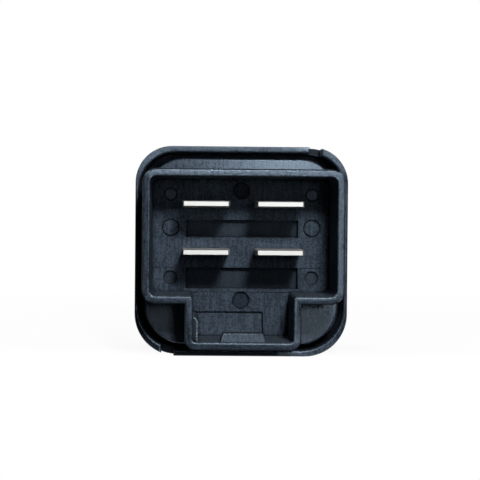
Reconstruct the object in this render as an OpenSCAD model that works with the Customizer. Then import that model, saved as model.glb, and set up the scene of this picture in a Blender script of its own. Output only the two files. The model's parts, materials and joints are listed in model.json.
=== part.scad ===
// Brake light switch of the plunger type: two contact pairs in a snap-together case
// with a T-shaped plug socket for four blade terminals.
// +Y runs along the plunger, from the plug socket to the pedal, and +Z is up.
// The origin is on the plunger axis, in the shoulder face that meets the pedal bracket.

/* [Casing] */
// Width of the casing
casing_w = 29.1; // [28.1:0.1:32]
// Height of the casing
casing_h = 28.7; // [27.9:0.1:32]
// Radius of the two upper corners
casing_top_r = 5; // [4:0.1:6]
// Radius of the two lower corners
casing_bottom_r = 5.8; // [4:0.1:6.5]
// Side wall of the open skirt round the socket block
skirt_side_wall = 0.5; // [0.4:0.1:1]
// Top and bottom wall of the open skirt
skirt_top_wall = 0.85; // [0.6:0.05:1.2]
// Depth of the skirt, from its rim to the step that the socket block seats on
skirt_l = 8.5; // [7.5:0.1:10]
// Wall of the contact chamber in front of that step
chamber_wall = 2; // [1.8:0.1:2.4]
// Front wall that carries the barrel
front_wall = 2.5; // [2:0.1:4]

/* [Skirt slots and windows] */
// Start of a relief slot, measured sideways from the axis
slot_x = 9.2; // [8:0.1:10]
// Width of a relief slot
slot_w = 1.7; // [0.5:0.1:2]
// Depth of the upper relief slot
upper_slot_l = 4.5; // [3:0.1:6]
// Depth of the lower relief slot
lower_slot_l = 3; // [2:0.1:6]
// Width of a snap window
window_w = 3; // [2.4:0.1:4]
// Distance of a snap window from the middle
window_x = 3.6; // [2.5:0.1:5]
// Width of the snap nub in each window
nub_w = 1.5; // [1:0.1:2]
// Height of a snap nub
nub_h = 0.5; // [0.3:0.05:0.7]
// Length of a snap nub
nub_l = 1.4; // [1:0.1:1.5]
// Length of a snap nub's flat crest, behind its ramp
nub_crest_l = 0.45; // [0.2:0.05:0.8]
// Free length of a window in front of its nub
window_lead = 0.3; // [0.1:0.05:0.4]

/* [Barrel] */
// Radius of the smooth pilot that fills the bracket's hole
barrel_r = 7; // [6:0.1:8]
// Length of the barrel
barrel_l = 16; // [12:0.5:24]
// Length of the smooth pilot
pilot_l = 4; // [2:0.5:6]
// Pitch of the ratchet teeth
tooth_pitch = 1.6; // [1:0.1:2.5]
// Height of the ratchet teeth
tooth_h = 0.8; // [0.4:0.1:1.2]
// Step from the pilot down to the crests of the teeth
tooth_relief = 0.1; // [0.05:0.05:0.3]
// Distance from the axis to the flats that break the teeth above and below
barrel_flat = 5.8; // [5.5:0.1:6.5]
// Radius of the plain nose in front of the teeth
nose_r = 5.6; // [5:0.1:6]
// Length of the plain nose
nose_l = 2.4; // [1.5:0.1:4]
// Chamfer at the end of the nose
nose_chamfer = 0.6; // [0.2:0.1:1]

/* [Plug socket] */
// Gap between the skirt and the socket block
skirt_gap = 0.85; // [0.4:0.05:1]
// Corner radius of the socket block
block_r = 5.3; // [3.5:0.1:5.5]
// Wall of the T-shaped shroud
shroud_wall = 1; // [0.8:0.1:1.4]
// Height of the shroud's mouth above the rim of the skirt
shroud_proud = 11; // [8:0.5:14]
// Depth of the socket from its mouth to its floor
socket_depth = 13; // [12:0.5:15]
// Ledge of the block above the shroud
top_ledge = 1.7; // [1:0.05:2]
// Height of the wide part of the socket, inside
socket_h = 15.6; // [14:0.2:16.2]
// Width of the socket's neck, inside
neck_w = 13.2; // [11:0.2:15]
// Inner corner radius of the wide part
socket_r = 0.9; // [0.4:0.1:1.5]
// Inner corner radius at the bottom of the neck
neck_r = 0.5; // [0.2:0.1:1]
// Rounding of the two corners where the neck leaves the wide part
shoulder_r = 0.5; // [0.2:0.1:1]
// Thickness of the socket's floor
floor_t = 2.4; // [2:0.1:3.5]
// Wall of the block's cup that reaches into the chamber
cup_wall = 1.2; // [1:0.1:1.6]
// Thickness of the flange that seats in the casing
flange_t = 2; // [1.6:0.1:2.6]

/* [Socket details] */
// Width of the two long pockets in the floor
pocket_w = 15.5; // [12:0.1:18]
// Offset of the pockets to the right of the middle
pocket_x = 0.1; // [0:0.05:0.4]
// Height of the upper pocket
upper_pocket_h = 2.4; // [1.5:0.1:2.8]
// Height of the lower pocket
lower_pocket_h = 2.9; // [1.5:0.1:3.2]
// Depth of the pockets
pocket_depth = 1.1; // [0.4:0.1:1.4]
// Distance from the upper blades' centre down to the upper pocket
upper_pocket_drop = 2.1; // [1.5:0.1:2.6]
// Distance from the lower blades' centre down to the lower pocket
lower_pocket_drop = 2.3; // [1.5:0.1:2.6]
// Margin of the floor's raised middle beside the pockets
insert_margin = 0.2; // [0.1:0.05:0.5]
// Level of the floor's raised middle and of the bar across it
floor_step = 0.15; // [0.1:0.05:0.3]
// Radius of the large ejector marks
ejector_r = 1.22; // [0.8:0.02:1.5]
// Radius of the upper side marks
small_ejector_r = 0.92; // [0.6:0.02:1.2]
// Radius of the lower side marks
low_ejector_r = 0.98; // [0.6:0.02:1.2]
// Depth of the recessed ejector marks
ejector_depth = 0.45; // [0.2:0.05:0.6]
// Height of the raised ejector marks
ejector_rise = 0.2; // [0.1:0.05:0.4]
// Tilt of the two lower side marks, whose floors face up a little
ejector_tilt = 6; // [0:1:8]
// Width of the groove round the pad and round the flat ejector marks
groove_w = 0.18; // [0.1:0.02:0.3]
// Depth of that groove
groove_depth = 0.3; // [0.1:0.05:0.6]
// Distance of the side marks from the socket's side walls
ejector_inset = 2.45; // [1.8:0.05:3]
// Distance of the middle mark below the socket's top wall
top_ejector_drop = 1.6; // [1.3:0.05:1.8]
// Distance of the upper side marks below the socket's top wall
side_ejector_drop = 2.15; // [1:0.05:3]
// Distance of the lower side marks above the shoulders
side_ejector_rise = 1.95; // [1:0.05:3]
// Distance of the lowest mark above the neck's bottom wall
neck_ejector_rise = 4.85; // [4.6:0.05:5.5]
// Width of the latch nib on the neck's bottom wall
nib_w = 6; // [4:0.1:8]
// Height of the latch nib
nib_h = 1.2; // [0.8:0.05:2]
// Length of the latch nib, from its ramp to its catch
nib_l = 3.2; // [2:0.1:5]
// Height of the nib's ramp where it starts
nib_start = 0.3; // [0.2:0.05:0.8]
// Length of the nib's ramp
nib_ramp_l = 0.4; // [0.2:0.1:2]
// Slant of the nib's two flanks
nib_slant = 0.4; // [0.1:0.05:0.6]
// Distance of the latch nib below the mouth
nib_drop = 0.4; // [0.3:0.1:3]
// Thickness of the keying rib on the neck's side wall
key_t = 0.75; // [0.4:0.05:1.2]
// Height of the keying rib
key_h = 3.3; // [2:0.1:5]
// Distance of the keying rib below the mouth
key_drop = 1.2; // [0.5:0.1:4]
// Width of the raised pad on the neck's floor
pad_w = 9.5; // [6:0.1:12]
// Height of the raised pad
pad_h = 3.1; // [2:0.1:4]
// Level of the raised pad above the floor
pad_t = 0.5; // [0.2:0.05:0.8]
// Radius of the raised pad's free corner
pad_r = 0.5; // [0.2:0.1:1]
// Length of the boss inside the block that centres the return spring
spring_boss_l = 2; // [1:0.1:2.5]

/* [Terminals] */
// Width of a blade
blade_w = 6.3; // [4.8:0.1:6.6]
// Thickness of the terminal strip
blade_t = 0.8; // [0.5:0.1:1]
// Sideways distance between the blades of a row
column_pitch = 9.8; // [9.4:0.1:10.6]
// Height of the upper row above the lower row, which is level with the plunger axis
row_pitch = 6.4; // [6:0.1:7]
// Distance of the blade tips below the mouth
tip_drop = 2.7; // [1:0.1:5]
// Length of the lead-in taper at the tip of a blade
tip_taper = 1.1; // [0.5:0.1:1.6]
// Width that the taper takes off each edge of the blade
tip_corner = 0.2; // [0.1:0.05:0.6]
// Thickness that the taper takes off each face of the blade
tip_bevel = 0.1; // [0.05:0.05:0.2]
// Width of the strip inside the chamber
tab_w = 4; // [3:0.1:4.2]
// Inner radius of the strip's bends
bend_r = 0.4; // [0.3:0.1:0.8]
// Reach of a tab past the edge of its bridge
tab_margin = 0.4; // [0.2:0.1:0.8]
// Gap between the front wall and the upper strips' tabs
tab_clear = 1; // [0.5:0.1:2]

/* [Contacts] */
// Radius of a contact button
button_r = 1.3; // [1:0.05:1.5]
// Height of a contact button
button_h = 0.6; // [0.4:0.05:0.9]
// Height of the crown that a contact button narrows to
button_crown = 0.2; // [0.1:0.05:0.3]
// Radius of the flat at the top of that crown
crown_r = 0.8; // [0.5:0.05:0.9]
// Height of a bridge strip
bridge_h = 2.8; // [2.6:0.1:3.4]
// Thickness of a bridge strip
bridge_t = 0.6; // [0.4:0.05:1]
// Corner radius of a bridge strip
bridge_end_r = 0.9; // [0.4:0.1:1.2]
// Length of a bridge beyond its contact buttons
bridge_overhang = 0.5; // [0.2:0.1:1]
// Distance between a strip and a bridge that passes it
strip_clear = 0.8; // [0.5:0.1:1.2]
// Depth of the lower bridge below the plunger axis
lower_bridge_drop = 6; // [5.4:0.1:7]

/* [Plunger] */
// Radius of the plunger
plunger_r = 3.45; // [3:0.05:4]
// Reach of the plunger in front of the barrel, at rest
plunger_reach = 11; // [8:0.5:16]
// Travel of the plunger
travel = 5; // [3:0.1:7]
// Radius of the plunger's stop flange
stop_r = 4.6; // [4.2:0.1:5.2]
// Thickness of the stop flange
stop_t = 1.5; // [1:0.1:2.5]
// Height of the plunger's domed tip
tip_dome = 1.5; // [0.8:0.1:2.5]
// Thickness of the contact carrier's arms
arm_t = 1.5; // [1:0.1:2.2]
// Width of the contact carrier's arms
arm_w = 3; // [2:0.1:3.4]
// Length of the contact carrier's hub
hub_l = 3.4; // [3:0.1:5]
// Radius of the contact carrier's hub
hub_r = 3.2; // [2.8:0.1:3.8]
// Radius of the stub that joins the carrier to the plunger
stub_r = 1.9; // [1.4:0.1:2.2]
// Length of the nose that centres the return spring on the carrier
spring_nose_l = 1.3; // [0.8:0.1:1.6]
// Room between the carrier's upper arm and the spring and bridge beside it
arm_clear = 0.5; // [0.3:0.1:0.7]
// Radius of a bridge post
post_r = 0.7; // [0.5:0.05:0.9]
// Radius of the head that keeps a bridge on its post
post_head_r = 1.15; // [1:0.05:1.4]
// Length of that head
post_head_l = 0.7; // [0.4:0.1:1]

/* [Springs] */
// Wire diameter of the return spring
return_wire = 0.5; // [0.3:0.05:0.6]
// Outer radius of the return spring
return_spring_r = 2.45; // [2:0.05:2.6]
// Turns of the return spring
return_turns = 7; // [5:0.5:8]
// Wire diameter of a bridge spring
bridge_wire = 0.3; // [0.2:0.05:0.4]
// Outer radius of a bridge spring
bridge_spring_r = 1.3; // [1.2:0.05:1.4]
// Length of a bridge spring at rest
bridge_spring_l = 3.2; // [2.6:0.1:4.5]
// Turns of a bridge spring
bridge_turns = 5; // [4:0.5:6]

/* [Clearances] */
// Running clearance round the plunger
running_gap = 0.05; // [0.02:0.01:0.1]
// Gap left between faces that only meet
seat_gap = 0.05; // [0.02:0.01:0.1]
// Clearance of a piece that drops into its seat
fit_gap = 0.1; // [0.05:0.01:0.2]
// Free room left behind the carrier at full travel
end_clear = 0.9; // [0.5:0.1:2]

/* [Hidden] */
$fn = 64;
eps = 0.01;
cut_over = 1;
spring_sides = 6;
rings_per_turn = 14;
closed_pitch = 1.05;

// Stations along the axis, from the shoulder back to the mouth of the socket
chamber_front_y = -front_wall;
stop_front_y = chamber_front_y - seat_gap;
hub_front_y = stop_front_y - stop_t;
hub_rear_y = hub_front_y - hub_l;
front_tab_y = chamber_front_y - tab_clear;
brake_button_y = front_tab_y - blade_t;
brake_bridge_front_y = brake_button_y - 2 * button_h - seat_gap;
brake_bridge_rear_y = brake_bridge_front_y - bridge_t;
brake_arm_front_y = brake_bridge_rear_y - bridge_spring_l;
brake_arm_rear_y = brake_arm_front_y - arm_t;
inner_face_y = brake_arm_rear_y - travel - end_clear;
cruise_button_y = inner_face_y + blade_t;
cruise_bridge_rear_y = cruise_button_y + 2 * button_h + travel + seat_gap;
cruise_bridge_front_y = cruise_bridge_rear_y + bridge_t;
cruise_arm_rear_y = cruise_bridge_front_y + bridge_spring_l;
cruise_arm_front_y = cruise_arm_rear_y + arm_t;
floor_y = inner_face_y - floor_t;
mouth_y = floor_y - socket_depth;
rim_y = mouth_y + shroud_proud;
seat_y = rim_y + skirt_l;
flange_y = seat_y - flange_t;
tip_y = mouth_y + tip_drop;
plunger_tip_y = barrel_l + plunger_reach;

// Sections
skirt_w = casing_w - 2 * skirt_side_wall;
skirt_h = casing_h - 2 * skirt_top_wall;
block_w = skirt_w - 2 * skirt_gap;
block_h = skirt_h - 2 * skirt_gap;
flange_w = skirt_w - 2 * fit_gap;
flange_h = skirt_h - 2 * fit_gap;
cup_w = block_w - 2 * cup_wall;
cup_h = block_h - 2 * cup_wall;
chamber_w = casing_w - 2 * chamber_wall;
chamber_h = casing_h - 2 * chamber_wall;
chamber_r = casing_top_r - chamber_wall;
bore_r = plunger_r + running_gap;

// Socket outline: the wide part, then the neck under it
socket_w = block_w - 2 * shroud_wall;
socket_top = block_h / 2 - top_ledge - shroud_wall;
shoulder_z = socket_top - socket_h;
neck_bottom = shroud_wall - block_h / 2;
insert_w = pocket_w + 2 * insert_margin;
ejector_x = socket_w / 2 - ejector_inset;

// Terminals and contacts
blade_x = column_pitch / 2;
brake_bridge_z = row_pitch + blade_t / 2 + strip_clear + bridge_h / 2;
cruise_bridge_z = -lower_bridge_drop;
bridge_l = column_pitch + 2 * button_r + 2 * bridge_overhang;
post_hole_r = post_r + fit_gap;

// Length of the carrier's stub in the plunger's rear socket
stub_l = stop_t + front_wall;

// A flat outline in X and Z, drawn out along Y
module along_y(from, to) {
    translate([0, to, 0]) rotate([90, 0, 0]) linear_extrude(to - from) children();
}

// A flat outline in Y and Z, drawn out to both sides of the middle
module across_x(width) {
    translate([-width / 2, 0, 0]) rotate([90, 0, 90]) linear_extrude(width) children();
}

module rod(r, from, to) {
    translate([0, from, 0]) rotate([-90, 0, 0]) cylinder(r = r, h = to - from);
}

// A rectangle round the origin whose upper and lower corners have their own radii
module round_box(w, h, top_r, bottom_r) {
    polygon([
        [-w / 2, bottom_r - h / 2], [bottom_r - w / 2, -h / 2],
        [w / 2 - bottom_r, -h / 2], [w / 2, bottom_r - h / 2],
        [w / 2, h / 2 - top_r], [w / 2 - top_r, h / 2],
        [top_r - w / 2, h / 2], [-w / 2, h / 2 - top_r]
    ]);
    for (side = [-1, 1]) {
        translate([side * (w / 2 - top_r), h / 2 - top_r]) circle(top_r);
        translate([side * (w / 2 - bottom_r), bottom_r - h / 2]) circle(bottom_r);
    }
}

// The T of the plug socket, grown all round by a wall
module socket_outline(wall) {
    wide_h = socket_h + 2 * wall;
    neck_h = shoulder_z - neck_bottom + wall + socket_h / 2;
    translate([0, shoulder_z + socket_h / 2])
        round_box(socket_w + 2 * wall, wide_h, socket_r + wall, socket_r + wall);
    translate([0, neck_bottom - wall + neck_h / 2])
        round_box(neck_w + 2 * wall, neck_h, neck_r + wall, neck_r + wall);
}

// The two rounded corners where the neck leaves the wide part
module shoulder_rounds() {
    for (side = [-1, 1]) difference() {
        translate([side * (neck_w + shoulder_r) / 2, shoulder_z - shoulder_r / 2 + eps])
            square([shoulder_r, shoulder_r + 2 * eps], center = true);
        translate([side * (neck_w / 2 + shoulder_r), shoulder_z - shoulder_r])
            circle(shoulder_r);
    }
}

module casing() color("#1d2228") difference() {
    union() {
        along_y(rim_y, 0) round_box(casing_w, casing_h, casing_top_r, casing_bottom_r);
        barrel();
    }
    along_y(rim_y - eps, seat_y) round_box(skirt_w, skirt_h, casing_top_r, casing_bottom_r);
    along_y(seat_y - eps, chamber_front_y) round_box(chamber_w, chamber_h, chamber_r, chamber_r);
    rod(bore_r, chamber_front_y - eps, barrel_l + eps);
    snap_windows();
    relief_slot(upper_slot_l);
    rotate([0, 180, 0]) relief_slot(lower_slot_l);
}

// Smooth pilot, ratchet teeth that rise towards the casing, and a plain nose
module barrel() {
    root_r = barrel_r - tooth_h;
    teeth = floor((barrel_l - pilot_l - nose_l) / tooth_pitch);
    teeth_l = teeth * tooth_pitch;
    rod(barrel_r, -eps, pilot_l);
    rod(nose_r, pilot_l - eps, barrel_l - nose_chamfer);
    translate([0, barrel_l - nose_chamfer, 0]) rotate([-90, 0, 0])
        cylinder(r1 = nose_r, r2 = nose_r - nose_chamfer, h = nose_chamfer);
    intersection() {
        union() {
            rod(root_r, pilot_l - eps, pilot_l + teeth_l);
            for (i = [0 : teeth - 1]) translate([0, pilot_l + i * tooth_pitch, 0])
                rotate([-90, 0, 0])
                    cylinder(r1 = barrel_r - tooth_relief, r2 = root_r - eps, h = tooth_pitch);
        }
        translate([-barrel_r, pilot_l - eps, -barrel_flat])
            cube([2 * barrel_r, teeth_l + 2 * eps, 2 * barrel_flat]);
    }
}

module snap_windows() {
    for (x = [-window_x, window_x], side = [-1, 1])
        translate([x - window_w / 2, flange_y, side > 0 ? skirt_h / 2 - eps : -casing_h / 2 - eps])
            cube([window_w, nub_l + window_lead, skirt_top_wall + 2 * eps]);
}

module snap_nubs() {
    for (x = [-window_x, window_x], side = [-1, 1]) mirror([0, 0, side > 0 ? 0 : 1])
        translate([x, flange_y + seat_gap, flange_h / 2]) across_x(nub_w)
            polygon([[0, -eps], [nub_l, -eps], [nub_crest_l, nub_h], [0, nub_h]]);
}

// A slot through the skirt's wall that starts at the rim
module relief_slot(slot_l) {
    wall_z = skirt_h / 2 - skirt_top_wall;
    wall_h = casing_h / 2 - wall_z + eps;
    translate([slot_x, rim_y - eps, wall_z]) cube([slot_w, slot_l + eps, wall_h]);
}

module connector_block() color("#1d2228") {
    difference() {
        union() {
            along_y(rim_y, seat_y) round_box(block_w, block_h, block_r, block_r);
            along_y(flange_y, seat_y) round_box(flange_w, flange_h, casing_top_r, casing_bottom_r);
            along_y(mouth_y, seat_y - flange_t / 2) socket_outline(shroud_wall);
            snap_nubs();
        }
        along_y(mouth_y - eps, floor_y) {
            socket_outline(0);
            shoulder_rounds();
        }
        along_y(inner_face_y, seat_y + eps)
            round_box(cup_w, cup_h, block_r - cup_wall, block_r - cup_wall);
        blade_slots();
        floor_pockets();
        ejector_recesses();
        ejector_rings();
        pad_groove();
    }
    difference() {
        floor_levels();
        blade_slots();
        floor_pockets();
        ejector_recesses();
    }
    latch_nib();
    keying_rib();
    neck_pad();
    ejector_pads();
    rod(return_spring_r - return_wire - fit_gap, inner_face_y - eps, inner_face_y + spring_boss_l);
}

module blade_slots() {
    for (x = [-blade_x, blade_x], z = [0, row_pitch])
        translate([x - blade_w / 2 - seat_gap, floor_y - cut_over, z - blade_t / 2 - seat_gap])
            cube([blade_w + 2 * seat_gap, floor_t + 2 * cut_over, blade_t + 2 * seat_gap]);
}

module floor_pockets() {
    upper_z = row_pitch - upper_pocket_drop - upper_pocket_h;
    lower_z = -lower_pocket_drop - lower_pocket_h;
    for (pocket = [[upper_z, upper_pocket_h], [lower_z, lower_pocket_h]])
        translate([pocket_x - pocket_w / 2, floor_y - cut_over, pocket[0]])
            cube([pocket_w, pocket_depth + cut_over, pocket[1]]);
}

// The raised middle of the floor and the bar across it, level with the lower blades
module floor_levels() {
    bar_top = row_pitch - upper_pocket_drop - upper_pocket_h;
    translate([pocket_x - insert_w / 2, floor_y - floor_step, shoulder_z])
        cube([insert_w, floor_step + eps, socket_h]);
    translate([-socket_w / 2, floor_y - floor_step, -lower_pocket_drop])
        cube([socket_w, floor_step + eps, bar_top + lower_pocket_drop]);
}

module ejector_recesses() {
    for (z = [socket_top - top_ejector_drop, neck_bottom + neck_ejector_rise]) translate([0, 0, z])
        rod(ejector_r, floor_y - cut_over, floor_y + ejector_depth);
    for (x = [-ejector_x, ejector_x])
        translate([x, floor_y, shoulder_z + side_ejector_rise]) rotate([-ejector_tilt, 0, 0])
            rod(low_ejector_r, -cut_over, ejector_depth);
}

// Ring grooves round the upper side marks and round the flat marks between the rows
module ejector_rings() {
    for (x = [-ejector_x, ejector_x]) {
        translate([x, 0, socket_top - side_ejector_drop]) ring_groove(small_ejector_r);
        translate([x, 0, row_pitch / 2]) ring_groove(ejector_r);
    }
}

module ring_groove(r) {
    difference() {
        rod(r, floor_y - cut_over, floor_y + groove_depth);
        rod(r - groove_w, floor_y - 2 * cut_over, floor_y + groove_depth + cut_over);
    }
}

module ejector_pads() {
    for (x = [-ejector_x, ejector_x]) translate([x, 0, socket_top - side_ejector_drop])
        rod(small_ejector_r - groove_w, floor_y - ejector_rise, floor_y + eps);
}

// A wedge with slanted flanks on the neck's bottom wall, for the plug's latch
module latch_nib() {
    ramp_y = mouth_y + nib_drop;
    translate([0, 0, neck_bottom]) intersection() {
        across_x(nib_w) polygon([
            [ramp_y, -eps], [ramp_y, nib_start], [ramp_y + nib_ramp_l, nib_h],
            [ramp_y + nib_l, nib_h], [ramp_y + nib_l, -eps]
        ]);
        along_y(ramp_y - eps, ramp_y + nib_l + eps) polygon([
            [-nib_w / 2, -eps], [nib_w / 2, -eps],
            [nib_w / 2 - nib_slant, nib_h + eps], [nib_slant - nib_w / 2, nib_h + eps]
        ]);
    }
}

// A rib with a round top on the neck's left wall, which keys the plug
module keying_rib() {
    along_y(mouth_y + key_drop, floor_y + eps)
        translate([-neck_w / 2 - eps, neck_bottom - eps]) {
            square([key_t + eps, key_h - key_t + eps]);
            intersection() {
                translate([0, key_h - key_t]) circle(key_t + eps);
                square([key_t + eps, key_h + eps]);
            }
        }
}

// The groove along the top and the free side of the raised pad
module pad_groove() {
    along_y(floor_y - cut_over, floor_y + groove_depth)
        translate([-neck_w / 2, neck_bottom]) difference() {
            square([pad_w + groove_w, pad_h + groove_w]);
            translate([-cut_over, -cut_over]) square([pad_w + cut_over - eps, pad_h + cut_over - eps]);
        }
}

module neck_pad() {
    along_y(floor_y - pad_t, floor_y + eps)
        translate([-neck_w / 2 - eps, neck_bottom - eps]) {
            square([pad_w, pad_h - pad_r]);
            square([pad_w - pad_r, pad_h]);
            translate([pad_w - pad_r, pad_h - pad_r]) circle(pad_r);
        }
}

// A blade with a tapered tip, centred on its row, up to the chamber
module blade() {
    intersection() {
        along_blade = inner_face_y - tip_y;
        translate([0, tip_y, -blade_t / 2]) linear_extrude(blade_t) polygon([
            [tip_corner - blade_w / 2, 0], [blade_w / 2 - tip_corner, 0],
            [blade_w / 2, tip_taper], [blade_w / 2, along_blade],
            [-blade_w / 2, along_blade], [-blade_w / 2, tip_taper]
        ]);
        across_x(blade_w) polygon([
            [tip_y, tip_bevel - blade_t / 2], [tip_y, blade_t / 2 - tip_bevel],
            [tip_y + tip_taper, blade_t / 2], [inner_face_y, blade_t / 2],
            [inner_face_y, -blade_t / 2], [tip_y + tip_taper, -blade_t / 2]
        ]);
    }
}

// A right-angle bend of the strip in Y and Z: it comes in along Y and leaves along Z
module bend() {
    outer_r = bend_r + blade_t;
    difference() {
        intersection() {
            circle(outer_r);
            translate([0, -outer_r]) square(outer_r);
        }
        circle(bend_r);
    }
}

// The strip runs forward over the bridge and turns up to face back at it
module brake_terminal(side) color("#c9c7bd") translate([side * blade_x, 0, row_pitch]) {
    bend_y = front_tab_y - bend_r - blade_t;
    tab_top = strip_clear + bridge_h + blade_t / 2 + tab_margin;
    blade();
    across_x(tab_w) {
        translate([inner_face_y - floor_t / 2, -blade_t / 2])
            square([bend_y - inner_face_y + floor_t / 2 + eps, blade_t]);
        translate([bend_y, blade_t / 2 + bend_r]) bend();
        translate([front_tab_y - blade_t, blade_t / 2 + bend_r - eps])
            square([blade_t, tab_top - blade_t / 2 - bend_r + eps]);
    }
}

// The strip turns down at once and lies on the inside of the socket's floor
module cruise_terminal(side) color("#c9c7bd") translate([side * blade_x, 0, 0]) {
    tab_bottom = cruise_bridge_z - bridge_h / 2 - tab_margin;
    blade();
    across_x(tab_w) {
        translate([inner_face_y - floor_t / 2, -blade_t / 2]) square([floor_t / 2 + blade_t, blade_t]);
        translate([inner_face_y, tab_bottom]) square([blade_t, -tab_bottom]);
    }
}

// A crowned button that stands on the plane y = 0 and faces +Y
module contact_button() color("#d9d9d6") {
    side_h = button_h - button_crown;
    rod(button_r, 0, side_h);
    translate([0, side_h, 0]) rotate([-90, 0, 0])
        cylinder(r1 = button_r, r2 = crown_r, h = button_crown);
}

module brake_fixed_contact(side) {
    translate([side * blade_x, brake_button_y, brake_bridge_z]) rotate([0, 0, 180]) contact_button();
}

module brake_moving_contact(side) {
    translate([side * blade_x, brake_bridge_front_y, brake_bridge_z]) contact_button();
}

module cruise_fixed_contact(side) {
    translate([side * blade_x, cruise_button_y, cruise_bridge_z]) contact_button();
}

module cruise_moving_contact(side) {
    translate([side * blade_x, cruise_bridge_rear_y, cruise_bridge_z])
        rotate([0, 0, 180]) contact_button();
}

module bridge_strip(from, to, z) color("#c8a15a") {
    translate([0, 0, z]) along_y(from, to) difference() {
        round_box(bridge_l, bridge_h, bridge_end_r, bridge_end_r);
        circle(post_hole_r);
    }
}

module brake_bridge() {
    bridge_strip(brake_bridge_rear_y, brake_bridge_front_y, brake_bridge_z);
}

module cruise_bridge() {
    bridge_strip(cruise_bridge_rear_y, cruise_bridge_front_y, cruise_bridge_z);
}

// Shaft with a domed tip, a stop flange behind the front wall and a socket for the carrier
module plunger() color("#23272d") {
    dome_start_y = plunger_tip_y - tip_dome;
    tip_r = (plunger_r * plunger_r + tip_dome * tip_dome) / (2 * tip_dome);
    difference() {
        union() {
            rod(plunger_r, hub_front_y, dome_start_y);
            rod(stop_r, hub_front_y, stop_front_y);
            intersection() {
                rod(plunger_r, dome_start_y - eps, plunger_tip_y);
                translate([0, plunger_tip_y - tip_r, 0]) sphere(tip_r);
            }
        }
        rod(stub_r + seat_gap, hub_front_y - eps, hub_front_y + stub_l + seat_gap);
    }
}

// Hub on the axis with one arm over it and one under it, each with a post for its bridge
module contact_carrier() color("#d8d4c4") {
    column_bottom = return_spring_r + arm_clear;
    column_top = brake_bridge_z - bridge_h / 2 - arm_clear;
    arm_top = brake_bridge_z + bridge_h / 2;
    arm_bottom = cruise_bridge_z - bridge_h / 2;
    rod(hub_r, hub_rear_y, hub_front_y);
    rod(stub_r, hub_front_y - eps, hub_front_y + stub_l);
    rod(return_spring_r - return_wire - fit_gap, hub_rear_y - spring_nose_l, hub_rear_y + eps);
    across_x(arm_w) {
        translate([hub_rear_y, 0]) square([hub_l, column_top]);
        translate([brake_arm_rear_y, column_bottom])
            square([hub_rear_y - brake_arm_rear_y + eps, column_top - column_bottom]);
        translate([brake_arm_rear_y, column_bottom]) square([arm_t, arm_top - column_bottom]);
        translate([cruise_arm_rear_y, arm_bottom]) square([arm_t, -arm_bottom]);
    }
    translate([0, 0, brake_bridge_z]) {
        rod(post_r, brake_arm_front_y - eps, brake_bridge_front_y + eps);
        rod(post_head_r, brake_bridge_front_y, brake_bridge_front_y + post_head_l);
    }
    translate([0, 0, cruise_bridge_z]) {
        rod(post_r, cruise_bridge_rear_y - eps, cruise_arm_rear_y + eps);
        rod(post_head_r, cruise_bridge_rear_y - post_head_l, cruise_bridge_rear_y);
    }
}

// Share of a spring's free height at a turn: the first and last turns lie flat
function coil_rise(turn, turns, flat) =
    turn < 1 ? turn * flat
    : turn > turns - 1 ? 1 - (turns - turn) * flat
    : flat + (turn - 1) / (turns - 2) * (1 - 2 * flat);

// A coil of round wire between two planes across the axis, with closed flat ends
module coil_spring(outer_r, wire, from, to, turns) {
    mean_r = outer_r - wire / 2;
    height = to - from - wire;
    flat = wire * closed_pitch / height;
    rings = round(turns * rings_per_turn);
    points = [for (i = [0 : rings], k = [0 : spring_sides - 1])
        let (turn = i * turns / rings, a = 360 * turn, b = 360 * k / spring_sides,
             r = mean_r + wire / 2 * cos(b))
        [r * cos(a), from + wire / 2 + height * coil_rise(turn, turns, flat) + wire / 2 * sin(b),
         r * sin(a)]];
    side_faces = [for (i = [0 : rings - 1], k = [0 : spring_sides - 1])
        let (n = (k + 1) % spring_sides, here = i * spring_sides, next = here + spring_sides)
        [here + k, next + k, next + n, here + n]];
    first = [for (k = [0 : spring_sides - 1]) k];
    last = [for (k = [spring_sides - 1 : -1 : 0]) rings * spring_sides + k];
    polyhedron(points, concat(side_faces, [first, last]), convexity = 8);
}

module return_spring() color("#9a9c9e")
    coil_spring(return_spring_r, return_wire, inner_face_y + seat_gap, hub_rear_y - seat_gap, return_turns);

module brake_bridge_spring() color("#9a9c9e") translate([0, 0, brake_bridge_z])
    coil_spring(bridge_spring_r, bridge_wire, brake_arm_front_y + seat_gap,
                brake_bridge_rear_y - seat_gap, bridge_turns);

module cruise_bridge_spring() color("#9a9c9e") translate([0, 0, cruise_bridge_z])
    coil_spring(bridge_spring_r, bridge_wire, cruise_bridge_front_y + seat_gap,
                cruise_arm_rear_y - seat_gap, bridge_turns);

casing();
connector_block();
brake_terminal(-1);  // brake_terminal_left
brake_terminal(1);  // brake_terminal_right
cruise_terminal(-1);  // cruise_terminal_left
cruise_terminal(1);  // cruise_terminal_right
brake_fixed_contact(-1);  // brake_fixed_contact_left
brake_fixed_contact(1);  // brake_fixed_contact_right
cruise_fixed_contact(-1);  // cruise_fixed_contact_left
cruise_fixed_contact(1);  // cruise_fixed_contact_right
plunger();
contact_carrier();
return_spring();
brake_bridge();
brake_moving_contact(-1);  // brake_moving_contact_left
brake_moving_contact(1);  // brake_moving_contact_right
brake_bridge_spring();
cruise_bridge();
cruise_moving_contact(-1);  // cruise_moving_contact_left
cruise_moving_contact(1);  // cruise_moving_contact_right
cruise_bridge_spring();
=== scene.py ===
# Looks of the brake light switch: rounded mouldings, coiled springs, finishes and studio.
import json
import math

import bmesh
import bpy
from mathutils import Matrix, Vector

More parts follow.
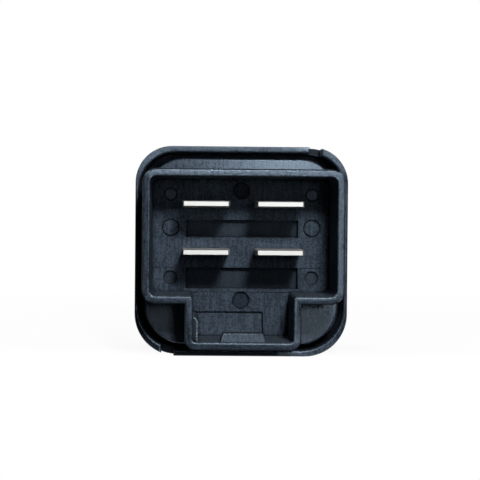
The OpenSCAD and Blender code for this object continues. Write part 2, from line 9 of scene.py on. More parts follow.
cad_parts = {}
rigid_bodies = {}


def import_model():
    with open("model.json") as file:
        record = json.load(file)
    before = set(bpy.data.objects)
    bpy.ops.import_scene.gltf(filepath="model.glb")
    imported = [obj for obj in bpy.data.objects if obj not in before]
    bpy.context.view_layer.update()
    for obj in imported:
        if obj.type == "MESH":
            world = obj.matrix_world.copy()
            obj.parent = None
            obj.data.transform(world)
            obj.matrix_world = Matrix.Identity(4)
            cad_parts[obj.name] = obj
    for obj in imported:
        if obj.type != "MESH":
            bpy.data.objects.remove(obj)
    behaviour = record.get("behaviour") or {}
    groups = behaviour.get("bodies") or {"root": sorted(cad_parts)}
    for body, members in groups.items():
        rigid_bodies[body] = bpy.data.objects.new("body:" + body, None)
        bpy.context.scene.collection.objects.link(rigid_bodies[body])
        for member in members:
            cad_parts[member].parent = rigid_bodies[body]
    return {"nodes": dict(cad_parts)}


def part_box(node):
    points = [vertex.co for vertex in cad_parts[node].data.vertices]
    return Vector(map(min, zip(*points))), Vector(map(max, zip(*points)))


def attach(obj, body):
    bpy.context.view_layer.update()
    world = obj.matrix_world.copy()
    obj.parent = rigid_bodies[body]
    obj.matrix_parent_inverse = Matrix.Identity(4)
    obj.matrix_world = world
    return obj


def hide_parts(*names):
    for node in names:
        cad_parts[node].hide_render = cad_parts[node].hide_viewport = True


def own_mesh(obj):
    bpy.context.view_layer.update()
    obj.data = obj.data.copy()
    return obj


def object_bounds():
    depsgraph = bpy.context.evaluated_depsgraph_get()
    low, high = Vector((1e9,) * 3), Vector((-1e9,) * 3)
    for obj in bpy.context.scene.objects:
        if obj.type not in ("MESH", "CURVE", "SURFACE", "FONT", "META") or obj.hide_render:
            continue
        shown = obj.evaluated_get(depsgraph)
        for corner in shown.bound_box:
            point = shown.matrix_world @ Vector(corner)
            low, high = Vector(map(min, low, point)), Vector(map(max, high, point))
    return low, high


for leftover in list(bpy.data.objects):
    bpy.data.objects.remove(leftover)
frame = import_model()
cad_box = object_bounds()

MM = 0.001


def slope(degrees):
    """Rise over run of a plane that leans by an angle."""
    return math.tan(math.radians(degrees))


# Places along the axis and the ground, read from the frame
MOUTH_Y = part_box("connector_block")[0].y
RIM_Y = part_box("casing")[0].y
GROUND_Z = cad_box[0].z
GROUND_FRONT_Y = RIM_Y - 2 * MM

# The casing's front face, which holds the frame's origin
FRONT_Y = 0.0

# The socket: levels along the axis, from its lip to the bottom of its pockets
LIP_Y = MOUTH_Y + 0.35 * MM
SHALLOW_Y = MOUTH_Y + 1 * MM
KEY_Y = MOUTH_Y + 1.2 * MM
DETAIL_FRONT_Y = MOUTH_Y + 12.2 * MM
FLOOR_Y = MOUTH_Y + 13 * MM
PAD_Y = FLOOR_Y - 0.5 * MM
RAISED_Y = FLOOR_Y - 0.2 * MM
DETAIL_BACK_Y = FLOOR_Y + 0.05 * MM
MARK_Y = FLOOR_Y + 0.35 * MM
POCKET_Y = FLOOR_Y + 1.1 * MM

# The socket: outline of its T-shaped room, its blades, side marks and latch nib
SOCKET_HALF_W = 12.2 * MM
SOCKET_TOP = 9.95 * MM
SHOULDER_Z = -5.65 * MM
NECK_HALF_W = 6.6 * MM
NECK_BOTTOM = -11.65 * MM
SHROUD_WALL = 1 * MM
SHROUD_TOP = SOCKET_TOP + SHROUD_WALL
BLADE_X = 4.9 * MM
BLADE_ROWS = (0.0, 6.4 * MM)
BLADE_SLOT_HALF_W = 3.25 * MM
BLADE_SLOT_HALF_H = 0.5 * MM
SIDE_MARK_X = 8 * MM
NIB_HALF_W = 3.1 * MM
NIB_LOW = NECK_BOTTOM + 0.2 * MM
NIB_HIGH = NECK_BOTTOM + 1.3 * MM

# The ledges beside the shroud and the deep gap behind them
LEDGE_FRONT_Y = RIM_Y - 0.5 * MM
UPPER_LEDGE_Z = SHROUD_TOP - 0.05 * MM
LOWER_LEDGE_Z = SHOULDER_Z - SHROUD_WALL + 0.05 * MM
UPPER_DRAFT = slope(3.3)
LOWER_DRAFT = slope(2.5)
GAP_Y = RIM_Y + 1 * MM

# The skirt: middle line of its wall, the ends of its slots and where its lower rim is dull and painted in
# shade
SKIRT_HALF_W = 14.3 * MM
SKIRT_HALF_H = 13.93 * MM
SKIRT_TOP_R = 5 * MM
SKIRT_BOTTOM_R = 5.8 * MM
SLOT_END_NEAR = RIM_Y + 2 * MM
SLOT_END_FAR = RIM_Y + 7 * MM
LOW_RIM_Z = -8 * MM
LOW_RIM_X = 5 * MM

# Radii of roundings and fillets
SKIRT_OUTER_ROUND = 0.12 * MM
SKIRT_INNER_ROUND = 0.28 * MM
FRONT_ROUND = 0.35 * MM
MOUTH_INNER_ROUND = 0.18 * MM
MOUTH_OUTER_ROUND = 0.25 * MM
LEDGE_ROUND = 0.2 * MM
KEY_ROUND = 0.2 * MM
NIB_ROUND = 0.2 * MM
DETAIL_ROUND = 0.05 * MM
POCKET_FILLET = 0.3 * MM
FOOT_FILLET = 0.12 * MM
BLADE_ROUND = 0.03 * MM
CONTACT_ROUND = 0.06 * MM
CARRIER_ROUND = 0.08 * MM
PLUNGER_ROUND = 0.12 * MM

# Depths of the finishes' relief, and how far from a corner the plastic gets painted shade
PLASTIC_RELIEF = 0.08 * MM
FINE_RELIEF = 0.003 * MM
CREVICE_SHADE_REACH = 0.7 * MM

# Leans of the shading, which make flat rims look crowned, hollow or bowed
RIM_LEAN = slope(6) / (1 * MM)
LEFT_RIM_SHARE = 2.6
INNER_RIM = 0.4 * MM
LOW_RIM_LIFT = slope(6)
LOW_RIM_SHARE = 2
RIGHT_RIM_LIFT = slope(1.8)
RIM_HOLLOW = slope(2) / (10 * MM)
LEDGE_BOW = slope(2.8) / (10 * MM)
LEDGE_CROWN_X = 2 * MM
RIGHT_SKIRT_LEAN = slope(20)
RIGHT_SKIRT_RUN = 1.5 * MM

# Mesh clean-up, and how near to a place counts as there
WELD = 0.001 * MM
FLAT = math.radians(0.5)
CORNER = math.radians(30)
SOFT = math.radians(35)
ON_PLANE = 0.004 * MM
ON_LEVEL = 0.02 * MM
OFF_FACE = 0.2 * MM
LIP_REACH = 0.3 * MM
KEY_REACH = 0.25 * MM
FOOT_REACH = 0.55 * MM

# How much of a unit vector has to lie along a way to count as that way
SQUARE = 0.95
FACES = 0.9
MOSTLY = 0.5
LEANS = 0.3

# What each kind of face carries: how far it is rubbed and painted with highlight, how matt it is, how far
# painted shade darkens it, and how smooth it is
FACE_MARKS = ("wear_and_highlight", "matte", "painted_shade", "smooth")
# LOW_RIM and SLOT_END: painted shade on the skirt's lower rim and on the slot ends
LOW_RIM = {"matte": 1.7, "painted_shade": 1.0}
SLOT_END = {"matte": 1.2, "painted_shade": 0.6}
UPPER_LEDGE = {"matte": -0.06, "smooth": 0.7}
LOWER_LEDGE = {"smooth": 0.7}
# INNER_LIP: painted highlight on the upward inner lip; OUTER_LIP: painted shade on the outer lip
INNER_LIP = {"wear_and_highlight": 1.3}
OUTER_LIP = {"matte": 1.5, "painted_shade": 0.8, "wear_and_highlight": 0.0}
# DEEP_GAP: painted shade in the gap round the block
DEEP_GAP = {"matte": 1.0, "painted_shade": 0.9}
SOCKET_FACE = {"matte": 1.0}
# SOCKET_SILL: painted light on the socket's upward walls
SOCKET_SILL = {"wear_and_highlight": 0.65}
SHALLOW_FACE = {"matte": 0.6}
# POCKET, SIDE_MARK and MIDDLE_MARK: painted shade in the pockets and the recessed marks
POCKET = {"painted_shade": 0.7}
SIDE_MARK = {"matte": 1.0, "painted_shade": 0.5}
MIDDLE_MARK = {"matte": 1.7, "painted_shade": 0.5}
RAISED_FLOOR = {"matte": 0.4}
PAD = {"matte": 0.8}
# KEY_END: painted shade on the key's end
KEY_END = {"matte": 1.0, "painted_shade": 0.7}
KEY_EDGE = {"matte": 0.0, "painted_shade": 0.0}
# NIB_BACK: painted shade on the nib's back and left edge; NIB_EDGE: painted highlight on its front edge
NIB_BACK = {"matte": 1.2, "painted_shade": 0.45, "wear_and_highlight": 0.0}
NIB_EDGE = {"matte": 0.2, "wear_and_highlight": 1.4}
SHEARED_END = {"matte": 1.0}
ROLLED_FACE = {"matte": 0.9}


def welded(node):
    """A welded copy of a node's mesh with each flat area as few faces as it can be."""
    bm = bmesh.new()
    bm.from_mesh(frame["nodes"][node].data)
    bmesh.ops.remove_doubles(bm, verts=bm.verts, dist=WELD)
    bmesh.ops.dissolve_limit(bm, angle_limit=FLAT, verts=bm.verts, edges=bm.edges)
    for name in FACE_MARKS:
        bm.faces.layers.float.new(name)
    return bm


def mark_face(bm, face, marks):
    for name, value in marks.items():
        face[bm.faces.layers.float[name]] = value


def is_outer_corner(edge):
    return len(edge.link_faces) == 2 and edge.calc_face_angle_signed() > CORNER


def is_inner_corner(edge):
    return len(edge.link_faces) == 2 and edge.calc_face_angle_signed() < -CORNER


def bevel(bm, edges, radius, segments, marks):
    """Rounds edges and marks the faces that this makes."""
    made = bmesh.ops.bevel(
        bm, geom=edges, offset=radius, offset_type="OFFSET", segments=segments,
        profile=0.5, affect="EDGES", clamp_overlap=False)
    for face in made["faces"]:
        mark_face(bm, face, marks)


def round_edges(bm, chosen, radius, segments=3, worn_and_lit=0.3):
    """Rounds the outer corners that chosen accepts and marks how far the rounding is worn and painted with
    highlight.
    """
    edges = [edge for edge in bm.edges if is_outer_corner(edge) and chosen(edge)]
    bevel(bm, edges, radius, segments, {"wear_and_highlight": worn_and_lit})


def fill_corners(bm, chosen, radius, segments=4, painted_shade=0.0):
    """Fillets the inner corners that chosen accepts and marks how much painted shade darkens the fillet."""
    edges = [edge for edge in bm.edges if is_inner_corner(edge) and chosen(edge)]
    bevel(bm, edges, radius, segments, {"painted_shade": painted_shade})


def middle_of(edge):
    return (edge.verts[0].co + edge.verts[1].co) / 2


def any_edge(edge):
    return True


def at_y(y):
    """Accepts edges that lie in the plane across the axis at y."""
    return lambda edge: all(abs(vert.co.y - y) < ON_PLANE for vert in edge.verts)


def between_y(low, high):
    """Accepts edges that lie wholly between two planes across the axis."""
    return lambda edge: all(low < vert.co.y < high for vert in edge.verts)


def soften(mesh, lean=None):
    """Shades each corner by the areas of the faces round it that turn away by less than SOFT,
    and leans it further where a place calls for that."""
    round_vert = [[] for _ in mesh.vertices]
    for face in mesh.polygons:
        for index in face.vertices:
            round_vert[index].append(face)
    least = math.cos(SOFT)
    normals = []
    for face in mesh.polygons:
        for index in face.vertices:
            near = [other for other in round_vert[index] if other.normal.dot(face.normal) > least]
            normal = sum((other.normal * other.area for other in near), Vector()).normalized()
            if lean:
                normal = (normal + lean(mesh.vertices[index].co)).normalized()
            normals.append(normal)
    mesh.normals_split_custom_set(normals)


class Nodes:
    """A node tree while it is put together."""

    def __init__(self, tree):
        self.tree = tree

    def add(self, kind, inputs=None, **settings):
        made = self.tree.nodes.new(kind)
        for key, value in settings.items():
            setattr(made, key, value)
        for key, value in (inputs or {}).items():
            self.put(made.inputs[key], value)
        return made

    def put(self, socket, value):
        """Links a socket to another node's output, or sets it to a constant."""
        if isinstance(value, bpy.types.NodeSocket):
            self.tree.links.new(value, socket)
        else:
            socket.default_value = value

    def math(self, operation, first, second):
        return self.add("ShaderNodeMath", {0: first, 1: second}, operation=operation).outputs[0]

    def line(self, value, factor, start):
        """A value times a factor, on top of a start."""
        return self.math("ADD", start, self.math("MULTIPLY", value, factor))

    def scaled(self, value, low, high, from_low=0.3, from_high=0.7, **settings):
        """Maps a value onto the range from low to high; its own range is a noise's unless given."""
        return self.add("ShaderNodeMapRange", {
            "Value": value, "From Min": from_low, "From Max": from_high,
            "To Min": low, "To Max": high}, **settings).outputs["Result"]

    def blend(self, share, first, second):
        """Mixes two colours by share."""
        return self.add("ShaderNodeMix", {"Factor": share, "A": first, "B": second},
                        data_type="RGBA").outputs["Result"]


class Shader(Nodes):
    """A material's nodes, laid out by the place on the object."""

    def __init__(self, name):
        self.material = bpy.data.materials.new(name)
        self.material.use_nodes = True
        super().__init__(self.material.node_tree)
        self.surface = self.tree.nodes["Principled BSDF"]
        self.place = self.add("ShaderNodeTexCoord").outputs["Object"]

    def set(self, **values):
        for key, value in values.items():
            self.put(self.surface.inputs[key.replace("_", " ")], value)

    def noise(self, per_mm, stretch=(1, 1, 1), detail=3.0, seed=0.0):
        """Noise whose grains are about 1 / per_mm millimetres, drawn out where stretch is small."""
        scale = [per_mm / MM * share for share in stretch]
        mapped = self.add("ShaderNodeMapping", {"Vector": self.place, "Scale": scale,
                                                "Location": (seed, seed, seed)})
        return self.add("ShaderNodeTexNoise", {"Vector": mapped.outputs[0], "Scale": 1.0,
                                               "Detail": detail}).outputs["Fac"]

    def mark(self, name):
        """A value that the mesh carries on its faces."""
        return self.add("ShaderNodeAttribute", attribute_name=name).outputs["Fac"]

    def bump(self, height, depth, strength=1.0):
        made = self.add("ShaderNodeBump", {"Height": height, "Distance": depth,
                                           "Strength": strength})
        self.put(self.surface.inputs["Normal"], made.outputs["Normal"])


def black_plastic():
    """Moulded black plastic with a cool sheen, grain and flow streaks, edges that are rubbed and painted
    with highlight, and painted shade on marked faces and in crevices.
    """
    low_tone, high_tone = (0.005, 0.0075, 0.012, 1), (0.034, 0.048, 0.069, 1)
    painted_shade_tone, crevice_shade_tone = (0.001, 0.0015, 0.004, 1), (0.001, 0.0015, 0.003, 1)
    rubbed_and_lit_tone, sheen = (0.22, 0.27, 0.32, 1), (0.62, 0.80, 1.0, 1)
    shader = Shader("black_plastic")
    matte = shader.mark("matte")
    blotch = shader.noise(0.6, detail=4, seed=3)
    grain = shader.noise(4.0, detail=4, seed=7)
    streak = shader.noise(4.2, stretch=(1, 1, 0.08), seed=11)
    tone = shader.line(grain, 0.5, shader.math("MULTIPLY", blotch, 0.15))
    tone = shader.line(streak, 0.35, tone)
    contrast = shader.line(matte, 5.0, 5.0)
    share = shader.line(shader.math("SUBTRACT", tone, 0.5), contrast, 0.5)
    body = shader.blend(share, low_tone, high_tone)
    # Painted shade: the face mark for it darkens the body colour where shade falls
    shaded = shader.blend(shader.mark("painted_shade"), body, painted_shade_tone)
    # Worn edges, and painted highlight on upward edges and walls, lighten the colour through the wear mark
    rubbed_and_lit = shader.math("MULTIPLY", shader.mark("wear_and_highlight"), shader.scaled(grain, 0.1, 0.6, 0.46, 0.66))
    worn_and_lit = shader.blend(rubbed_and_lit, shaded, rubbed_and_lit_tone)
    # Painted shade in crevices: occlusion darkens the colour and dims the reflection near corners
    crevice_shade = shader.add("ShaderNodeAmbientOcclusion", {"Distance": CREVICE_SHADE_REACH},
                         samples=6, only_local=True)
    clear = shader.scaled(crevice_shade.outputs["AO"], 0.15, 1, 0.35, 0.8)
    shader.set(Base_Color=shader.blend(clear, crevice_shade_tone, worn_and_lit),
               Roughness=shader.line(matte, 0.4, shader.scaled(tone, 0.27, 0.37, 0.38, 0.62)),
               Specular_IOR_Level=shader.math("MULTIPLY", clear, 0.55),
               Specular_Tint=sheen, IOR=1.5)
    relief = shader.line(streak, 0.6, grain)
    depth = shader.line(matte, 0.6, shader.line(shader.mark("smooth"), -0.38, 0.38))
    shader.bump(relief, PLASTIC_RELIEF, depth)
    return shader.material


def plunger_plastic():
    """Smoother black plastic, polished by sliding."""
    shader = Shader("plunger_plastic")
    grain = shader.noise(4.0, seed=5)
    slide = shader.noise(5.0, stretch=(1, 0.08, 1), seed=9)
    body = shader.blend(shader.scaled(slide, 0, 1), (0.014, 0.016, 0.020, 1), (0.030, 0.034, 0.040, 1))
    rubbed_and_lit = shader.math("MULTIPLY", shader.mark("wear_and_highlight"), shader.scaled(grain, 0, 0.6, 0.45, 0.65))
    shader.set(Base_Color=shader.blend(rubbed_and_lit, body, (0.08, 0.09, 0.10, 1)),
               Roughness=shader.scaled(slide, 0.24, 0.36), IOR=1.5)
    shader.bump(slide, FINE_RELIEF, 0.5)
    return shader.material


def carrier_plastic():
    """Ivory slide plastic with a faint mottle."""
    shader = Shader("carrier_plastic")
    mottle = shader.noise(0.8, detail=4)
    body = shader.blend(shader.scaled(mottle, 0, 1), (0.60, 0.56, 0.44, 1), (0.70, 0.67, 0.56, 1))
    shader.set(Base_Color=body, Roughness=shader.scaled(mottle, 0.38, 0.5), IOR=1.48)
    shader.bump(shader.noise(7.0), FINE_RELIEF, 0.5)
    return shader.material


def rolled_metal(name, dull, bright, rough, grain_axis):
    """Rolled strip or drawn wire: two shades, streaks along the grain and uneven gloss."""
    shader = Shader(name)
    stretch = [0.06 if axis == grain_axis else 1 for axis in "xyz"]
    lines = shader.noise(9.0, stretch=stretch, seed=2)
    cloud = shader.noise(0.9, detail=4, seed=4)
    tone = shader.line(cloud, 0.5, shader.math("MULTIPLY", lines, 0.5))
    uneven = shader.scaled(tone, rough - 0.06, rough + 0.08)
    shader.set(Base_Color=shader.blend(shader.scaled(tone, 0, 1), dull, bright), Metallic=1.0,
               Roughness=shader.line(shader.mark("matte"), 0.28, uneven))
    shader.bump(lines, FINE_RELIEF, 0.5)
    return shader.material


def tinned_strip():
    return rolled_metal("tinned_strip", (0.56, 0.57, 0.555, 1), (0.70, 0.71, 0.695, 1), 0.34, "y")


def contact_silver():
    return rolled_metal("contact_silver", (0.70, 0.69, 0.66, 1), (0.88, 0.87, 0.85, 1), 0.28, "x")


def bridge_bronze():
    return rolled_metal("bridge_bronze", (0.52, 0.32, 0.13, 1), (0.72, 0.48, 0.22, 1), 0.30, "x")


def spring_steel():
    return rolled_metal("spring_steel", (0.40, 0.40, 0.41, 1), (0.58, 0.58, 0.59, 1), 0.32, "y")


FINISHES = {make.__name__: make() for make in (
    black_plastic, plunger_plastic, carrier_plastic, tinned_strip, contact_silver,
    bridge_bronze, spring_steel)}


def piece(name, bm, slot, body, *nodes, lean=None):
    """Turns a mesh into a smooth-shaded piece that rides on a body in place of some nodes."""
    mesh = bpy.data.meshes.new(name)
    bm.to_mesh(mesh)
    bm.free()
    mesh.shade_smooth()
    soften(mesh, lean)
    mesh.materials.append(FINISHES[slot])
    made = bpy.data.objects.new(name, mesh)
    bpy.context.scene.collection.objects.link(made)
    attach(made, body)
    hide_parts(*nodes)
    return made


def at_skirt_rim(inner):
    """Accepts the inner or the outer edges of the skirt's rim."""
    def chosen(edge):
        middle = middle_of(edge)
        radius = SKIRT_TOP_R if middle.z > 0 else SKIRT_BOTTOM_R
        across = max(abs(middle.x) - SKIRT_HALF_W + radius, 0)
        up = max(abs(middle.z) - SKIRT_HALF_H + radius, 0)
        return at_y(RIM_Y)(edge) and (math.hypot(across, up) < radius) == inner
    return chosen


def casing_lean(point):
    """Shades the skirt's rim as rounded off on the right and slightly hollow along the top."""
    if abs(point.y - RIM_Y) > ON_PLANE:
        return Vector()
    if point.z > SHROUD_TOP:
        return Vector((-point.x * RIM_HOLLOW, 0, 0))
    right = min(max((point.x - SOCKET_HALF_W) / RIGHT_SKIRT_RUN, 0), 1)
    return Vector((right * RIGHT_SKIRT_LEAN, 0, 0))


def split_rim(bm):
    """Cuts the skirt's rim where its dull lower part with painted shade begins, which leaves its form as it
    is.
    """
    for spot, way in (((0, 0, LOW_RIM_Z), (0, 0, 1)), ((LOW_RIM_X, 0, 0), (1, 0, 0))):
        rim = [face for face in bm.faces if abs(face.calc_center_median().y - RIM_Y) < ON_PLANE]
        around = {edge for face in rim for edge in face.edges}
        ends = {vert for face in rim for vert in face.verts}
        bmesh.ops.bisect_plane(bm, geom=[*rim, *around, *ends], dist=WELD, plane_co=spot, plane_no=way)


def mark_casing(bm):
    """Paints shade on the dull lower rim of the skirt and on the ends of its slots."""
    for face in bm.faces:
        middle = face.calc_center_median()
        low = middle.z < LOW_RIM_Z and middle.x < LOW_RIM_X
        slot_end = face.normal.y < -FACES and SLOT_END_NEAR < middle.y < SLOT_END_FAR
        if low and (slot_end or abs(middle.y - RIM_Y) < ON_PLANE):
            mark_face(bm, face, LOW_RIM)
        elif slot_end:
            mark_face(bm, face, SLOT_END)


def make_casing():
    """Casing with softened rims and front edge."""
    bm = welded("casing")
    round_edges(bm, at_skirt_rim(False), SKIRT_OUTER_ROUND)
    round_edges(bm, at_skirt_rim(True), SKIRT_INNER_ROUND, worn_and_lit=0.1)
    round_edges(bm, at_y(FRONT_Y), FRONT_ROUND)
    split_rim(bm)
    mark_casing(bm)
    return piece("casing_moulding", bm, "black_plastic", "housing", "casing", lean=casing_lean)


def tilt_ledges(bm):
    """Leans the ledges above and below the shroud back a little, as the mould's draft does, and keeps
    them smooth."""
    for vert in bm.verts:
        if abs(vert.co.y - RIM_Y) > LEDGE_ROUND:
            continue
        if vert.co.z > UPPER_LEDGE_Z:
            vert.co.y += (vert.co.z - UPPER_LEDGE_Z) * UPPER_DRAFT
        elif vert.co.z < LOWER_LEDGE_Z:
            vert.co.y += (vert.co.z - LOWER_LEDGE_Z) * LOWER_DRAFT
    for face in bm.faces:
        middle = face.calc_center_median()
        if abs(middle.y - RIM_Y) > 2 * LEDGE_ROUND:
            continue
        if middle.z > UPPER_LEDGE_Z:
            mark_face(bm, face, UPPER_LEDGE)
        elif middle.z < LOWER_LEDGE_Z:
            mark_face(bm, face, LOWER_LEDGE)


def in_socket(point, margin=0.0):
    """Whether a point lies in the T-shaped room of the socket, grown by a margin."""
    if point.z > SHOULDER_Z - margin:
        return abs(point.x) < SOCKET_HALF_W + margin and point.z < SOCKET_TOP + margin
    return abs(point.x) < NECK_HALF_W + margin and point.z > NECK_BOTTOM - margin


def from_socket(point):
    """The shortest way to a point from the socket's two rooms, across the axis."""
    ways = []
    for half_w, low, high in ((SOCKET_HALF_W, SHOULDER_Z, SOCKET_TOP),
                              (NECK_HALF_W, NECK_BOTTOM, SHOULDER_Z)):
        near = Vector((min(max(point.x, -half_w), half_w), point.y, min(max(point.z, low), high)))
        ways.append(point - near)
    return min(ways, key=lambda way: way.length)


def block_lean(point):
    """Shades the mouth's rim as crowned, by leaning its outer edge away from the socket, and the upper
    ledge as slightly bowed."""
    if point.z > SHROUD_TOP and abs(point.y - RIM_Y) < LEDGE_ROUND:
        return Vector(((point.x - LEDGE_CROWN_X) * LEDGE_BOW, 0, 0))
    if abs(point.y - MOUTH_Y) > ON_PLANE:
        return Vector()
    way = from_socket(point)
    side = way.normalized()
    lean = way * RIM_LEAN
    if side.x < -MOSTLY:
        lean *= LEFT_RIM_SHARE
    elif side.x > MOSTLY:
        lean.z += RIGHT_RIM_LIFT * (1 - point.z / SOCKET_TOP)
    elif side.z > MOSTLY:
        lean.x -= point.x * RIM_HOLLOW
    elif way.length < INNER_RIM:
        lean.z += LOW_RIM_LIFT
    else:
        lean *= LOW_RIM_SHARE
    return lean


def at_mouth(inner):
    """Accepts the inner or the outer edges of the mouth."""
    return lambda edge: at_y(MOUTH_Y)(edge) and in_socket(middle_of(edge), SHROUD_WALL / 2) == inner


def is_floor_detail(edge):
    """Accepts edges of the floor's steps, pockets and marks, but not of the blades' slots."""
    middle = middle_of(edge)
    beside = abs(abs(middle.x) - BLADE_X) < BLADE_SLOT_HALF_W
    level = min(abs(middle.z - row) for row in BLADE_ROWS) < BLADE_SLOT_HALF_H
    return between_y(DETAIL_FRONT_Y, DETAIL_BACK_Y)(edge) and not (beside and level)


def at_neck_foot(edge):
    """Accepts the corner between the socket's floor, or its pad, and the neck's bottom wall."""
    on_wall = all(abs(vert.co.z - NECK_BOTTOM) < ON_PLANE for vert in edge.verts)
    near_floor = between_y(FLOOR_Y - FOOT_REACH, FLOOR_Y + FOOT_REACH)(edge)
    across = abs(edge.verts[0].co.y - edge.verts[1].co.y) < ON_PLANE
    return on_wall and near_floor and across


def mark_lip(bm, face, middle):
    """Paints highlight on the mouth's inner edges that look up, and dulls its outer edges with painted shade
    but for the right one's front.
    """
    rim_flat, front = 0.97, 0.75
    inner_edge = in_socket(middle, LIP_REACH) and middle.y < MOUTH_Y + LIP_REACH
    outer_edge = -rim_flat < face.normal.y < 0 and not in_socket(middle, SHROUD_WALL / 2)
    right_front = face.normal.x >= LEANS and face.normal.y <= -front
    if inner_edge and face.normal.z > LEANS:
        mark_face(bm, face, INNER_LIP)
    elif outer_edge and not right_front:
        mark_face(bm, face, OUTER_LIP)


def mark_nib(bm, face):
    """Dulls the latch nib's back and left edge with painted shade and paints highlight on its front edge."""
    edge_up, edge_out = 0.45, 0.2
    if face.normal.z > SQUARE or face.normal.x < -LEANS:
        mark_face(bm, face, NIB_BACK)
    elif face.normal.z > edge_up and face.normal.y < -edge_out:
        mark_face(bm, face, NIB_EDGE)


def mark_inside(bm, face, middle):
    """Marks the socket's matt walls and floor, paints highlight on its upward walls and shade on its
    pockets, marks and key end, and marks its nib.
    """
    mark_face(bm, face, SOCKET_FACE)
    if face.normal.z > FACES:
        mark_face(bm, face, SOCKET_SILL)
    if middle.y < SHALLOW_Y:
        mark_face(bm, face, SHALLOW_FACE)
    if middle.y > POCKET_Y - POCKET_FILLET:
        mark_face(bm, face, POCKET)
    elif middle.y > MARK_Y:
        mark_face(bm, face, SIDE_MARK if abs(middle.x) > SIDE_MARK_X else MIDDLE_MARK)
    elif abs(middle.y - RAISED_Y) < ON_LEVEL:
        mark_face(bm, face, RAISED_FLOOR)
    elif abs(middle.y - PAD_Y) < ON_LEVEL:
        mark_face(bm, face, PAD)
    if abs(middle.y - KEY_Y) < KEY_REACH and middle.x < 0:
        mark_face(bm, face, KEY_END if face.normal.y < -SQUARE else KEY_EDGE)
    if abs(middle.x) < NIB_HALF_W and NIB_LOW < middle.z < NIB_HIGH and middle.y < RIM_Y:
        mark_nib(bm, face)


def mark_block(bm):
    """Marks the mouth's lip, the socket, and the deep gap round the block, which gets painted shade."""
    for face in bm.faces:
        middle = face.calc_center_median()
        if middle.y < LIP_Y:
            mark_lip(bm, face, middle)
        elif in_socket(middle + face.normal * OFF_FACE):
            mark_inside(bm, face, middle)
        elif middle.y > GAP_Y:
            mark_face(bm, face, DEEP_GAP)


def make_connector_block():
    """Socket block with rounded mouth, ledge, key, nib and floor details."""
    bm = welded("connector_block")
    round_edges(bm, at_mouth(True), MOUTH_INNER_ROUND, segments=4)
    round_edges(bm, at_mouth(False), MOUTH_OUTER_ROUND, segments=5, worn_and_lit=0.1)
    round_edges(bm, at_y(RIM_Y), LEDGE_ROUND, worn_and_lit=0.05)
    # The key's rounded edges get painted highlight through a high wear value
    round_edges(bm, at_y(KEY_Y), KEY_ROUND, worn_and_lit=2.0)
    round_edges(bm, between_y(LIP_Y, LEDGE_FRONT_Y), NIB_ROUND)
    round_edges(bm, is_floor_detail, DETAIL_ROUND, segments=1)
    fill_corners(bm, at_y(POCKET_Y), POCKET_FILLET)
    # The fillet at the neck's foot is painted in shade
    fill_corners(bm, at_neck_foot, FOOT_FILLET, segments=2, painted_shade=1.0)
    tilt_ledges(bm)
    mark_block(bm)
    return piece("connector_block_moulding", bm, "black_plastic", "housing", "connector_block",
                 lean=block_lean)


def make_plain(node, name, finish, body, radius):
    """A node with all its outer corners softened."""
    bm = welded(node)
    round_edges(bm, any_edge, radius)
    return piece(name, bm, finish, body, node)


def make_terminal(node, name):
    """A terminal whose sheared blade end is rougher than its rolled faces."""
    bm = welded(node)
    round_edges(bm, any_edge, BLADE_ROUND)
    for face in bm.faces:
        mark_face(bm, face, SHEARED_END if face.normal.y < -LEANS else ROLLED_FACE)
    return piece(name, bm, "tinned_strip", "housing", node)


def make_terminals_and_contacts():
    for pair in ("brake", "cruise"):
        bridge_body = f"{pair}_bridge_unit"
        for side in ("left", "right"):
            make_terminal(f"{pair}_terminal_{side}", f"{pair}_strip_{side}")
            make_plain(f"{pair}_fixed_contact_{side}", f"{pair}_fixed_button_{side}",
                       "contact_silver", "housing", CONTACT_ROUND)
            make_plain(f"{pair}_moving_contact_{side}", f"{pair}_moving_button_{side}",
                       "contact_silver", bridge_body, CONTACT_ROUND)
        make_plain(f"{pair}_bridge", f"{pair}_bridge_strip", "bridge_bronze", bridge_body, CONTACT_ROUND)


def make_plunger_and_carrier():
    make_plain("plunger", "plunger_rod", "plunger_plastic", "plunger_unit", PLUNGER_ROUND)
    make_plain("contact_carrier", "carrier_moulding", "carrier_plastic", "plunger_unit", CARRIER_ROUND)


def coil_rise(turn, turns, closed):
    """Share of the free height at a turn: the first and last turns lie closed."""
    if turn < 1:
        return turn * closed
    if turn > turns - 1:
        return 1 - (turns - turn) * closed
    return closed + (turn - 1) / (turns - 2) * (1 - 2 * closed)


def coil(low, high, wire, turns, sides=12, rings_per_turn=40):
    """A round-wire spring that fills the box from low to high along Y."""
    bm = bmesh.new()
    closed_pitch = wire * 1.05
    mean_r = (high.x - low.x - wire) / 2
    height = high.y - low.y - wire
    centre_z = (low.z + high.z) / 2
    count = round(turns * rings_per_turn)
    angles = [math.tau * k / sides for k in range(sides)]
    rings = []
    for i in range(count + 1):
        turn = turns * i / count
        across = Vector((math.cos(math.tau * turn), 0, math.sin(math.tau * turn)))
        rise = height * coil_rise(turn, turns, closed_pitch / height)
        middle = Vector((0, low.y + wire / 2 + rise, centre_z)) + across * mean_r
        rings.append([bm.verts.new(middle + across * (math.cos(angle) * wire / 2)
                                   + Vector((0, math.sin(angle) * wire / 2, 0))) for angle in angles])
    for here, after in zip(rings, rings[1:]):
        for k in range(sides):
            n = (k + 1) % sides
            bm.faces.new((here[k], after[k], after[n], here[n]))
    bm.faces.new(rings[0])
    bm.faces.new(reversed(rings[-1]))
    bmesh.ops.recalc_face_normals(bm, faces=bm.faces)
    return bm


def make_spring(node, body, wire, turns):
    """A coil in place of a node, riding on a body."""
    low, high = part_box(node)
    made = piece(f"{node}_coil", coil(low, high, wire, turns), "spring_steel", body, node)
    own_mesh(made)


